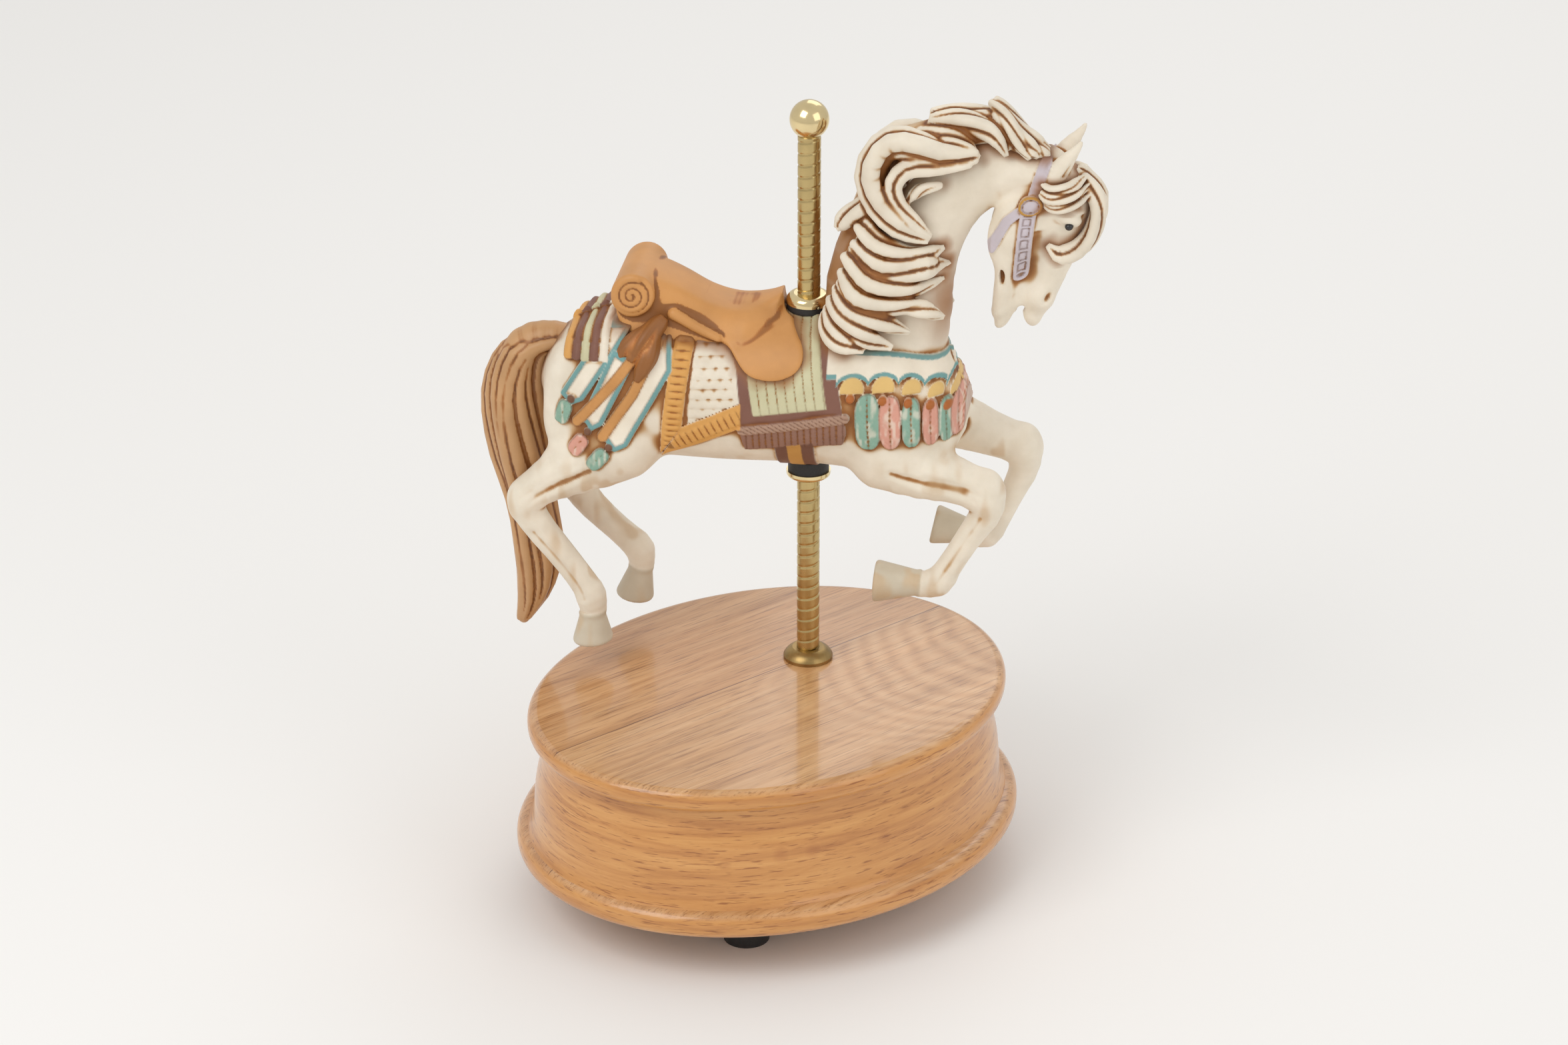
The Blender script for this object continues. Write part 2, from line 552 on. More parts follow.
# ======================= hair: locks of twisted strands =======================
def lock(field, stations, strands=3, twist=120.0, k=0.7):
    """A tapering lock along the stations (x, y, z, radius), of several strands wound together."""
    path = through(stations, 16)
    ahead = np.gradient(path[:, :3], axis=0)
    ahead /= np.linalg.norm(ahead, axis=1)[:, None]
    side = np.cross(ahead, (0, 1, 0))
    side /= np.linalg.norm(side, axis=1)[:, None] + 1e-9
    third = np.cross(side, ahead)
    phase = RNG.uniform(0, 360)
    point = np.interp(np.linspace(0, 1, len(path)), (0, 0.08, 0.8, 1), (0.75, 1, 1, 0.45))
    for n in range(strands):
        turn = np.radians(phase + 360 * n / strands + twist * np.linspace(0, 1, len(path)))
        off = path[:, 3] * 0.62
        centre = path[:, :3] + side * (np.cos(turn) * off)[:, None] + third * (np.sin(turn) * off)[:, None]
        field.rod(np.column_stack([centre, path[:, 3] * 0.68 * point]), k)
    field.rod(np.column_stack([path[:, :3], path[:, 3] * 0.6 * point]), k)


CREST = through(((14, 0, 136, 8), (14, 0, 150, 7), (19, 0, 165, 6.5), (25, 0, 180, 7), (31, 0, 192, 6.5),
                 (44, 0, 198, 5.5), (58, 0, 199.5, 5), (72, 0, 199, 4.5), (84, 0, 195, 3.5)), 12)


def build_mane(field):
    for side in (-1, 1):
        s = side
        locks = (
            # crest tufts
            ((43, s * 2, 204.5, 1.4), (52, s * 4, 205, 2.7), (60, s * 6, 203.5, 3.0),
             (67, s * 8, 200, 2.8), (71, s * 9.5, 195, 1.6)),
            ((64, s * 1, 209.5, 1.3), (70, s * 3, 206.5, 2.6), (75, s * 6, 202, 2.8),
             (80, s * 8, 196, 1.7)),
            ((66, s * 2, 205, 2.2), (69, s * 5, 201, 2.6), (70, s * 8, 196, 1.8)),
            ((73, s * 2, 206, 1.8), (79, s * 5, 201, 2.5), (83, s * 7, 196, 1.6)),
            ((78, s * 1, 202, 1.8), (83, s * 3, 198.5, 2.2), (86.5, s * 5, 194, 1.5)),
            ((40, s * 4, 199, 2.0), (49, s * 7, 198.5, 3.2), (56, s * 9.5, 196, 3.0),
             (61, s * 10.5, 193, 1.8)),
            # the large ring curl
            ((60, s * 11, 194, 2.6), (48, s * 12.5, 195, 4.4), (36, s * 12.5, 199.5, 4.8),
             (28, s * 12, 198.5, 4.8),
             (23, s * 12, 190, 4.8), (25, s * 13, 181, 4.6), (31, s * 14.5, 173.5, 4.2),
             (38, s * 15.5, 168.5, 3.2),
             (44, s * 15.5, 165.5, 1.6)),
            ((58, s * 12, 191.5, 2.0), (46, s * 13.5, 191.5, 3.0), (36, s * 14, 191, 3.0),
             (31, s * 14, 185, 2.8),
             (33, s * 15, 178, 2.6), (40, s * 16, 171, 2.2), (45, s * 15.5, 167, 1.2)),
            ((48, s * 12, 184, 1.2), (41, s * 12.5, 183, 2.0), (36.5, s * 13, 179, 1.6)),
            # tip that flies back
            ((30, s * 9, 176, 3.4), (22, s * 9, 175, 3.8), (15, s * 9, 171.5, 3.4), (11, s * 9, 168, 1.8)),
            # locks that sweep over the neck
            ((20, s * 12, 170, 3.2), (26, s * 15, 164, 3.4), (36, s * 16, 160.5, 3.0),
             (44, s * 12.8, 160, 2.4), (49, s * 9.4, 160.5, 1.2)),
            ((18, s * 12, 163, 3.4), (28, s * 17, 156, 3.8), (42, s * 17, 156, 3.4),
             (46, s * 11.5, 155, 2.4), (51, s * 7.2, 154, 1.2)),
            ((16, s * 13, 160, 3.4), (24, s * 18, 152, 3.8), (36, s * 18, 149, 3.2),
             (44, s * 12.4, 148.5, 1.8), (49, s * 8.2, 149, 1.0)),
            ((15, s * 14, 154, 3.4), (20, s * 19, 147, 3.8), (31, s * 19, 143.5, 3.2),
             (42, s * 17, 143, 1.6), (46, s * 16, 142, 0.8)),
            ((36, s * 18, 142.5, 1.8), (43, s * 17.5, 140.5, 2.4), (50, s * 15, 137.5, 1.4)),
            ((13, s * 14, 149, 3.2), (18, s * 19, 143, 3.8), (27, s * 20, 138, 3.2),
             (38, s * 19, 133.5, 1.6)),
            ((11, s * 13, 144, 3.2), (15, s * 18, 139, 3.8), (22, s * 21, 133.5, 3.4),
             (32, s * 20.5, 128.5, 1.6)),
            ((9, s * 12, 139, 3.2), (10, s * 16, 134.5, 3.6), (14, s * 20, 130.5, 3.2),
             (22, s * 21.5, 127.5, 1.5)),
            # forelock swirls over the brow and the long lock below the eye
            ((84, s * 6, 184, 1.4), (88.5, s * 10.2, 181.5, 2.3), (95, s * 9.6, 182, 2.3),
             (99.5, s * 5, 184, 1.8)),
            ((84, s * 8, 179.5, 1.4), (88.5, s * 11.2, 176.8, 2.4), (95.5, s * 10.2, 177.2, 2.4),
             (101, s * 5, 180, 1.8)),
            ((85, s * 9, 175, 1.2), (90, s * 11.4, 172.2, 2.3), (96.5, s * 9.6, 173, 2.3),
             (102, s * 4, 176, 1.8)),
            ((99, s * 3, 184, 2.4), (103, s * 3.5, 176, 2.8), (105, s * 5, 167, 2.8),
             (103.5, s * 6.5, 158, 2.9),
             (98.5, s * 7.5, 152, 3.1), (92, s * 7.6, 150.5, 2.8), (87.5, s * 7.6, 154, 1.5)),
        )
        for stations in locks:
            drop = 7.0 if side > 0 and stations[0][0] < 80 else 0.0
            lock(field, [(a, b, c - drop, d) for a, b, c, d in stations])
    # crest between the two sides
    field.rod(CREST, 2.5, 1.3)
    lock(field, ((66, 0, 210.5, 1.2), (72, 0, 206.5, 2.8), (79, 0, 202, 3.0), (86, 0, 196, 2.0)))
    lock(field, ((43, 0, 206, 1.6), (52, 0, 205, 3.0), (62, 0, 204, 3.2), (70, 0, 203, 2.0)))
    lock(field, ((97, 0, 186, 2.6), (102, 0, 178, 2.8), (105.5, 0, 168, 2.4), (105, 0, 160, 1.4)))


def build_tail(field):
    spine = through(((-84, 0, 124, 6), (-95, 0, 124.5, 8), (-104, 0, 120, 10), (-108.5, 0, 106, 11.5),
                     (-107, 0, 86, 11.5),
                     (-103, 0, 64, 9.5), (-100.5, 0, 44, 9.5), (-102, 0, 28, 7), (-106.5, 0, 16, 3)), 22)
    field.rod(np.column_stack([spine[:, :3], spine[:, 3] * 0.8]), 2.0, 0.95)
    count = 19
    for n in range(count):
        turn = 2 * math.pi * n / count + RNG.uniform(-0.1, 0.1)
        sway = turn + 0.9 * np.linspace(0, 1, len(spine)) + 0.25 * np.sin(np.linspace(0, 7, len(spine)) + n)
        off = spine[:, 3] * 0.78
        x = spine[:, 0] + np.cos(sway) * off
        y = np.sin(sway) * off * 0.9
        thick = spine[:, 3] * (0.22 + 0.06 * math.sin(2.3 * n))
        field.rod(np.column_stack([x, y, spine[:, 2], thick]), 0.5)


# ======================= saddle =======================
SADDLE_SIDE = ((-9, 142.5), (-14, 140.5), (-20, 139.2), (-27, 139.6), (-35.5, 142.5), (-44, 147.5),
               (-51, 151),
               (-57, 153), (-62.5, 151.5), (-66, 147), (-67, 140), (-60, 134), (-40, 130), (-9, 130))
FLAP = ((-7, 139), (-4, 134), (0.8, 127), (-0.5, 121.5), (-6, 118.6), (-12.5, 118.3), (-19, 120.5),
        (-25, 127),
        (-30, 132), (-40, 137))


SCROLL = (-60.5, 146.5)
SCROLL_R, SCROLL_HALF = 7.4, 15.6


def scroll_drum(x, y, z):
    """The rolled top of the cantle."""
    return smooth_max(np.hypot(x - SCROLL[0], z - SCROLL[1]) - SCROLL_R + 0 * y,
                      np.abs(y) - SCROLL_HALF + 0 * x, 1.0)


def build_saddle(field, body):
    side = through([(x, 0, z) for x, z in SADDLE_SIDE] + [(-8, 0, 136)], 60)[:, (0, 2)]

    def tree(x, y, z):
        half = 13.0 + 3.0 * step_up(z, 140, 130) + 1.5 * step_up(-x, 40, 60) - 5.5 * step_up(x, -22, -8)
        crown = 0.014 * y * y
        d = outline_distance(x + 0 * y, z + crown, side)
        return smooth_max(d, np.abs(y) - half + 0 * z, 5.0)
    field.add(tree, (-68, -18, 128), (-4, 18, 157), 1.0)
    part, (x, y, z) = field.window((-45, -33, 112), (4, 33, 142))
    points = np.stack(np.broadcast_arrays(x, y, z), -1).reshape(-1, 3)
    skin = body.sample(points).reshape(np.broadcast(x, y, z).shape)
    flap = outline_distance(*side_view(x, z), through([(a, 0, b) for a, b in FLAP], 50)[:, (0, 2)])
    slab = smooth_max(smooth_max(skin - 2.0, flap + 0 * skin, 1.2), -(skin + 2.0), 0.5)
    field.d[part] = smooth_min(field.d[part], slab.astype(np.float32), 3.0)
    for s in (-1, 1):
        # rolled end of the cantle: a spiral on a drum
        field.add(scroll_drum, (-68, -16, 139), (-53, 16, 154), 1.5)
        turns = np.linspace(0, 2.4 * 2 * math.pi, 46)
        r = 6.4 - 2.3 * turns / (2 * math.pi)
        place = np.full(len(r), s * (SCROLL_HALF + 0.1))
        spiral = np.column_stack([SCROLL[0] + r * np.cos(turns + 1.2), place,
                                  SCROLL[1] + r * np.sin(turns + 1.2), np.full(len(r), 0.95)])
        field.rod(spiral, 0.5)
        field.rod(((-46, s * 14, 139, 2.0), (-38, s * 15, 134.5, 1.6), (-30, s * 17, 131, 1.2)), 1.5)
    post = lambda x, y, z: np.sqrt(x * x + y * y) + 0 * z - 8.6
    field.cut(post, (-9, -9, 128), (9, 9, 160), 0.5)


def build_knot(field):
    """Tan knot and tassel hanging below the scroll, on both sides."""
    for s in (-1, 1):
        lock(field, ((-50, s * 15, 137, 2.6), (-56, s * 20, 131, 3.4), (-60, s * 23.5, 125.5, 2.2)), 5, 60)
        lock(field, ((-56, s * 18, 134, 2.2), (-62, s * 20.5, 129, 2.6), (-66, s * 22, 124, 1.4)), 4, 60)
        lock(field, ((-52, s * 19, 132, 2.0), (-54, s * 23, 126, 2.8), (-57.5, s * 26, 119, 1.6)), 5, 40)


# ======================= the figure's final proportions =======================
RISE = 0.066
STRETCH = through(((-121, -116.5, 0), (-80, -78, 0), (0, 0, 0), (30, 29.3, 0), (64, 61.4, 0),
                   (84, 79.4, 0), (108, 101.7, 0)), 80)


def settled(points):
    """Points moved to the figure's final place: a slight climb, and a shorter, higher-carried head."""
    x, y, z = np.asarray(points, float).T
    head = step_up(x, 64, 80) * step_up(z, 112, 126)
    lift = np.interp(z, (120, 162, 201, 210), (6.5, 6.0, -6.0, -6.0))
    z = z + head * lift + RISE * x
    return np.column_stack([np.interp(x, STRETCH[:, 0], STRETCH[:, 1]), y, z])


# ======================= from fields to painted meshes =======================
def mesh_piece(name, field, colours, material, body="carousel"):
    points, quads = field.surface()
    mesh = bpy.data.meshes.new(name)
    mesh.from_pydata((settled(points) + (0, 0, TOP)) * MM + PLACE, [], quads.tolist())
    mesh.validate()
    layer = mesh.color_attributes.new("paint", "FLOAT_COLOR", "POINT")
    rgba = np.ones((len(points), 4), np.float32)
    rgba[:, :3] = colours(points)
    layer.data.foreach_set("color", rgba.ravel())
    piece = bpy.data.objects.new(name, mesh)
    bpy.context.collection.objects.link(piece)
    loose = bmesh.new()
    loose.from_mesh(mesh)
    bmesh.ops.recalc_face_normals(loose, faces=loose.faces)
    loose.to_mesh(mesh)
    loose.free()
    mesh.shade_smooth()
    smooth = piece.modifiers.new("soften", "SMOOTH")
    smooth.factor = 0.5
    smooth.iterations = 2
    mesh.materials.append(material)
    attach(piece, body)
    return piece


def blend_colour(base, colour, mask):
    return base + (colour - base) * np.asarray(mask)[:, None]


def washed(colour, points, field, low, high, strength, reach=1.6, share=90):
    """Brown wash that stays in the hollows, uneven as a brushed and wiped wash is."""
    hollow = field.hollows(points, reach)
    hollow = hollow / (np.percentile(hollow, share) + 1e-6) + 0.5 * (speckle(points, 5.0, 3) - 0.5)
    depth = step_up(hollow, low, high) * strength
    colour = colour * blend_colour(np.ones(3), THIN_WASH / CREAM, step_up(depth, 0, 0.4))
    colour = blend_colour(colour, WASH, step_up(depth, 0.2, 0.7) * 0.92)
    return blend_colour(colour, DARK_WASH, step_up(depth, 0.6, 1.0) * 0.8)


COLOURS = {"mauve": MAUVE, "fringe": paint(150, 112, 96), "olive": OLIVE,
           "rope": paint(176, 142, 122), "white": CREAM * 0.98,
           "orange": FRINGE_ORANGE, "strap": SADDLE_TAN * 0.95, "collar": CREAM, "half_moon": YELLOW,
           "teal_leaf": GREEN, "pink_leaf": PINK, "bead": STUD, "brown_bead": paint(120, 82, 60)}


def paint_body(points, field, others):
    x, y, z = points.T
    colour = np.tile(CREAM, (len(points), 1)) * (0.95 + 0.07 * speckle(points, 14.0, 1))[:, None]
    # hooves
    for a, b, run, width in HOOVES:
        t = (points - a) @ run
        near = np.linalg.norm(points - (a + b) / 2, axis=1) < width * 2.2
        colour = blend_colour(colour, HOOF, step_up(t, 0.2, 1.2) * near)
    on_trunk = (np.abs(trunk_distance(x, y, z)) < 13) & (z < 142) & (z > 76)
    for outline, thick, key, line in layers(x, z):
        mask = step_up(-outline, -0.25, 0.25) * on_trunk
        if key == "streamer":
            colour = blend_colour(colour, CREAM * 1.03, mask)
            colour = blend_colour(colour, TEAL, mask * step_up(outline, -1.9, -1.6))
        elif key == "roll":
            bands = np.array([FRINGE_ORANGE, MAUVE, OLIVE, MAUVE, CREAM])
            band = bands[np.clip(((x + 85.0) / 3.4).astype(int), 0, 4)]
            colour = colour + (band - colour) * mask[:, None]
        elif key == "girth":
            band = np.where((np.abs(x + 2) < 2.6)[:, None], FRINGE_ORANGE * 0.8, MAUVE * 0.8)
            colour = colour + (band - colour) * mask[:, None]
        elif key == "collar":
            top, low = collar_height(x)
            colour = blend_colour(colour, CREAM, mask)
            near_top = step_up(0.9 - np.abs(z - top + 0.7), 0, 0.3)
            near_edge = step_up(1.0 - np.abs(z - scallop_line(x) - 0.7), 0, 0.3)
            colour = blend_colour(colour, TEAL, np.maximum(near_top, near_edge) * mask)
        else:
            tone = COLOURS[key]
            if key.endswith("leaf"):
                pale = step_up(speckle(points * (1.6, 1, 0.5), 1.6, 31), 0.5, 0.85)
                tone = blend_colour(tone, CREAM, 0.55 * pale)
            colour = colour + (tone - colour) * mask[:, None]
        colour = blend_colour(colour, DARK_WASH, mask * line * 0.62)
    on_head = (x > 64) & (z > 130) & (z < 200)
    for outline, thick, key, line in bridle(x, z):
        mask = step_up(-outline, -0.2, 0.2) * on_head
        if key == "boss":
            r = np.hypot(x - BOSS[0], z - BOSS[1])
            colour = blend_colour(colour, LAVENDER, mask)
            colour = blend_colour(colour, GOLD, mask * (r > 3.6))
        else:
            colour = blend_colour(colour, LAVENDER, mask)
        colour = blend_colour(colour, DARK_WASH, mask * line * 0.5)
    colour = washed(colour, points, field, 0.18, 1.7, 0.9, 1.6, 96)
    colour = washed(colour, points, field, 0.3, 2.0, 0.8, 3.4, 95)
    # brushed streaks of wash left on the legs, the breast and the belly
    streak = step_up(speckle(points * (1, 1, 0.3), 3.2, 11) * speckle(points, 11.0, 12), 0.28, 0.55)
    low_part = step_up(96 - z, 0, 20)
    colour = blend_colour(colour, THIN_WASH, 0.5 * streak * low_part)
    # wash gathers round the hair, the saddle and the tail
    for other in others:
        gap = other.sample(points)
        stain = step_up(4.4 - np.abs(gap) + 3.4 * (speckle(points, 5.0, 5) - 0.5), 0, 4.4)
        colour = blend_colour(colour, WASH, stain * 0.85)
        colour = blend_colour(colour, DARK_WASH, step_up(1.4 - np.abs(gap), 0, 1.4) * 0.5)
    throat = np.exp(-((x - 51) / 9) ** 2 - ((z - 139) / 15) ** 2) * step_up(z, 116, 126)
    colour = blend_colour(colour, WASH, 0.85 * throat * (0.5 + speckle(points, 6.0, 9)).clip(0, 1))
    return np.clip(colour, 0, 1)


def paint_hair(base, seed, low=-0.75, high=1.1, strength=1.0):
    def colours(points, field):
        colour = np.tile(base, (len(points), 1)) * (0.93 + 0.12 * speckle(points, 9.0, seed))[:, None]
        colour = washed(colour, points, field, low, high, strength, 1.2)
        return np.clip(washed(colour, points, field, 0.2, 1.8, 0.75, 3.0), 0, 1)
    return colours


# ======================= materials =======================
def new_material(name):
    m = bpy.data.materials.new(name)
    m.use_nodes = True
    n, l = m.node_tree.nodes, m.node_tree.links
    return m, n, l, n["Principled BSDF"]


def noise(n, scale, detail=4.0, rough=0.55):
    t = n.new("ShaderNodeTexNoise")
    t.inputs["Scale"].default_value = scale
    t.inputs["Detail"].default_value = detail
    t.inputs["Roughness"].default_value = rough
    return t


def ramp(n, stops):
    r = n.new("ShaderNodeValToRGB")
    r.color_ramp.elements[0].position, r.color_ramp.elements[0].color = stops[0][0], (*stops[0][1], 1)
    r.color_ramp.elements[1].position, r.color_ramp.elements[1].color = stops[-1][0], (*stops[-1][1], 1)
    for at, colour in stops[1:-1]:
        e = r.color_ramp.elements.new(at)
        e.color = (*colour, 1)
    return r


def mix(n, l, mode, fac, a, b):
    m = n.new("ShaderNodeMix")
    m.data_type, m.blend_type = "RGBA", mode
    for socket, value in ((m.inputs[0], fac), (m.inputs[6], a), (m.inputs[7], b)):
        if hasattr(value, "is_output"):
            l.new(value, socket)
        else:
            socket.default_value = value
    return m.outputs[2]


def bump(n, l, shader, height, strength, distance):
    b = n.new("ShaderNodeBump")
    b.inputs["Strength"].default_value = strength
    b.inputs["Distance"].default_value = distance
    l.new(height, b.inputs["Height"])
    l.new(b.outputs[0], shader.inputs["Normal"])


def bisque_material(name, roughness, sheen):
    m, n, l, s = new_material(name)
    co = n.new("ShaderNodeTexCoord")
    colour = n.new("ShaderNodeVertexColor")
    colour.layer_name = "paint"
    cloud = noise(n, 90, 5)
    l.new(co.outputs["Object"], cloud.inputs[0])
    tone = ramp(n, ((0.3, (0.9, 0.87, 0.83)), (0.7, (1.04, 1.03, 1.02))))
    l.new(cloud.outputs[0], tone.inputs[0])
    l.new(mix(n, l, "MULTIPLY", 1.0, colour.outputs[0], tone.outputs[0]), s.inputs["Base Color"])
    rough = n.new("ShaderNodeMapRange")
    rough.inputs[3].default_value, rough.inputs[4].default_value = roughness - 0.08, roughness + 0.1
    l.new(cloud.outputs[0], rough.inputs[0])
    l.new(rough.outputs[0], s.inputs["Roughness"])
    s.inputs["Specular IOR Level"].default_value = sheen
    s.inputs["Subsurface Weight"].default_value = 0.06
    s.inputs["Subsurface Radius"].default_value = (0.002, 0.0015, 0.001)
    grit = noise(n, 2600, 3)
    l.new(co.outputs["Object"], grit.inputs[0])
    bump(n, l, s, grit.outputs[0], 0.12, 0.00008)
    return m


def brass_material(name, colour, roughness, tarnish):
    m, n, l, s = new_material(name)
    co = n.new("ShaderNodeTexCoord")
    cloud = noise(n, 120, 6)
    l.new(co.outputs["Object"], cloud.inputs[0])
    dark = tuple(c * (1 - tarnish) for c in colour)
    tone = ramp(n, ((0.35, dark), (0.65, colour)))
    l.new(cloud.outputs[0], tone.inputs[0])
    l.new(tone.outputs[0], s.inputs["Base Color"])
    s.inputs["Metallic"].default_value = 1.0
    rough = n.new("ShaderNodeMapRange")
    rough.inputs[3].default_value, rough.inputs[4].default_value = roughness, roughness + 0.12
    l.new(cloud.outputs[0], rough.inputs[0])
    l.new(rough.outputs[0], s.inputs["Roughness"])
    fine = noise(n, 900, 2)
    l.new(co.outputs["Object"], fine.inputs[0])
    bump(n, l, s, fine.outputs[0], 0.06, 0.0001)
    return m


def plain_material(name, colour, roughness, metallic=0.0, scale=400, strength=0.2):
    m, n, l, s = new_material(name)
    co = n.new("ShaderNodeTexCoord")
    cloud = noise(n, scale, 5)
    l.new(co.outputs["Object"], cloud.inputs[0])
    tone = ramp(n, ((0.3, tuple(c * 0.75 for c in colour)), (0.7, tuple(min(1, c * 1.15) for c in colour))))
    l.new(cloud.outputs[0], tone.inputs[0])
    l.new(tone.outputs[0], s.inputs["Base Color"])
    s.inputs["Metallic"].default_value = metallic
    s.inputs["Roughness"].default_value = roughness
    bump(n, l, s, cloud.outputs[0], strength, 0.0002)
    return m


OVAL_CENTRE = np.array([list(map(float, corner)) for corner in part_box("oak_base")]).mean(axis=0)
WAIST = np.array((0.0845, 0.0675))
GRAIN_TURN = math.radians(48)


def waist_point(turn, height):
    """A point on the moulded side, turn radians round the oval from its long axis."""
    u, v = WAIST * (math.cos(turn), math.sin(turn))
    c, s = math.cos(GRAIN_TURN), math.sin(GRAIN_TURN)
    return (OVAL_CENTRE[0] + u * c - v * s, OVAL_CENTRE[1] + u * s + v * c, height)


KNOTS = [waist_point(turn, height)
         for turn, height in ((-2.35, 0.044), (-2.12, 0.046), (-1.98, 0.046), (-1.66, 0.044))]


def oak_material():
    """Two glued boards on top, golden moulded sides; grain follows the oval's long axis."""
    m, n, l, s = new_material("oak")
    co = n.new("ShaderNodeTexCoord")
    turn = n.new("ShaderNodeMapping")
    grain_turn = -GRAIN_TURN
    turn.inputs["Rotation"].default_value = (0, 0, grain_turn)
    turn.inputs["Location"].default_value = (
        -PLACE[0] * math.cos(grain_turn) + PLACE[1] * math.sin(grain_turn),
        -PLACE[0] * math.sin(grain_turn) - PLACE[1] * math.cos(grain_turn), 0)
    l.new(co.outputs["Object"], turn.inputs[0])
    parts = n.new("ShaderNodeSeparateXYZ")
    l.new(turn.outputs[0], parts.inputs[0])

    def stretched(scale_x, scale_y, scale_z, scale, detail=6.0, rough=0.6, distort=0.0):
        mp = n.new("ShaderNodeMapping")
        mp.inputs["Scale"].default_value = (scale_x, scale_y, scale_z)
        l.new(turn.outputs[0], mp.inputs[0])
        t = noise(n, scale, detail, rough)
        t.inputs["Distortion"].default_value = distort
        l.new(mp.outputs[0], t.inputs[0])
        return t
    def maths(operation, first, second=None, third=None):
        node = n.new("ShaderNodeMath")
        node.operation = operation
        for socket, value in zip(node.inputs, (first, second, third)):
            if hasattr(value, "is_output"):
                l.new(value, socket)
            elif value is not None:
                socket.default_value = value
        return node.outputs[0]
    # straight grain, and nested arches on the board at the front
    along, over = parts.outputs[0], parts.outputs[1]
    straight = stretched(5, 170, 60, 2.0, 5, 0.65, 0.3)
    wander = stretched(14, 22, 14, 1.4, 4, 0.6)
    arch = maths("POWER", maths("ADD", over, 0.036), 2.0)
    arch = maths("MULTIPLY_ADD", arch, -15.0, along)
    arch = maths("MULTIPLY_ADD", wander.outputs[0], 0.02, arch)
    bands = maths("SINE", maths("MULTIPLY", arch, 640.0))
    bands = maths("MULTIPLY_ADD", bands, 0.1, 0.52)
    front = maths("LESS_THAN", over, 0.0)
    right = n.new("ShaderNodeMapRange")
    l.new(along, right.inputs[0])
    right.inputs[1].default_value, right.inputs[2].default_value = -0.045, 0.0
    arched = maths("MULTIPLY", front, right.outputs[0])
    mixed = n.new("ShaderNodeMix")
    l.new(arched, mixed.inputs[0])
    l.new(straight.outputs[0], mixed.inputs[2])
    l.new(maths("MULTIPLY_ADD", maths("SUBTRACT", straight.outputs[0], 0.5), 0.6, bands), mixed.inputs[3])
    figure = ramp(n, ((0.28, tuple(paint(184, 134, 84))), (0.46, tuple(paint(208, 160, 110))),
                      (0.75, tuple(paint(225, 184, 138)))))
    l.new(mixed.outputs[0], figure.inputs[0])
    pores = stretched(14, 420, 420, 3.2, 3, 0.7)
    pore_mask = ramp(n, ((0.34, (0.42, 0.3, 0.2)), (0.47, (1, 1, 1))))
    l.new(pores.outputs[0], pore_mask.inputs[0])
    broad = stretched(4, 40, 40, 2.4, 4)
    tint = ramp(n, ((0.3, (0.86, 0.82, 0.78)), (0.7, (1.06, 1.04, 1.02))))
    l.new(broad.outputs[0], tint.inputs[0])
    top = mix(n, l, "MULTIPLY", 1.0, figure.outputs[0], tint.outputs[0])
    # one board a shade redder than the other, with the glue line between
    board = n.new("ShaderNodeMath")
    board.operation = "GREATER_THAN"
    l.new(parts.outputs[1], board.inputs[0])
    board.inputs[1].default_value = 0.0
    shade = mix(n, l, "MIX", board.outputs[0], (1, 0.99, 0.97, 1), (0.96, 0.91, 0.86, 1))
    top = mix(n, l, "MULTIPLY", 1.0, top, shade)
    seam = n.new("ShaderNodeMath")
    seam.operation = "ABSOLUTE"
    l.new(parts.outputs[1], seam.inputs[0])
    thin = n.new("ShaderNodeMath")
    thin.operation = "LESS_THAN"
    l.new(seam.outputs[0], thin.inputs[0])
    thin.inputs[1].default_value = 0.00022
    top = mix(n, l, "MIX", thin.outputs[0], top, (*paint(120, 76, 44), 1))
    top = mix(n, l, "MULTIPLY", 0.8, top, pore_mask.outputs[0])
    # sides: deeper golden tone with long dark pores
    side_grain = stretched(9, 9, 120, 2.2, 6, 0.65, 0.6)
    side = ramp(n, ((0.26, tuple(paint(176, 112, 54))), (0.5, tuple(paint(205, 143, 76))),
                    (0.76, tuple(paint(222, 164, 96)))))
    l.new(side_grain.outputs[0], side.inputs[0])
    side_pores = stretched(60, 60, 900, 2.0, 2, 0.6)
    side_mask = ramp(n, ((0.32, (0.5, 0.36, 0.26)), (0.42, (1, 1, 1))))
    l.new(side_pores.outputs[0], side_mask.inputs[0])
    side_colour = mix(n, l, "MULTIPLY", 0.85, side.outputs[0], side_mask.outputs[0])
    for place in KNOTS:
        away = n.new("ShaderNodeVectorMath")
        away.operation = "DISTANCE"
        l.new(co.outputs["Object"], away.inputs[0])
        away.inputs[1].default_value = place
        ring = maths("MULTIPLY_ADD", wander.outputs[0], 0.004, away.outputs["Value"])
        spot = ramp(n, ((0.0, tuple(paint(128, 70, 34))), (0.35, tuple(paint(176, 104, 52))),
                        (0.8, (1, 1, 1))))
        l.new(maths("MULTIPLY", maths("SUBTRACT", ring, 0.001), 130.0), spot.inputs[0])
        side_colour = mix(n, l, "MULTIPLY", 0.7, side_colour, spot.outputs[0])
    geo = n.new("ShaderNodeNewGeometry")
    up = n.new("ShaderNodeSeparateXYZ")
    l.new(geo.outputs["Normal"], up.inputs[0])
    flat = n.new("ShaderNodeMapRange")
    flat.inputs[1].default_value, flat.inputs[2].default_value = 0.55, 0.9
    l.new(up.outputs[2], flat.inputs[0])
    l.new(mix(n, l, "MIX", flat.outputs[0], side_colour, top), s.inputs["Base Color"])
    s.inputs["Roughness"].default_value = 0.32
    s.inputs["Coat Weight"].default_value = 0.6
    s.inputs["Coat Roughness"].default_value = 0.1
    bump(n, l, s, pores.outputs[0], 0.12, 0.0002)
    return m


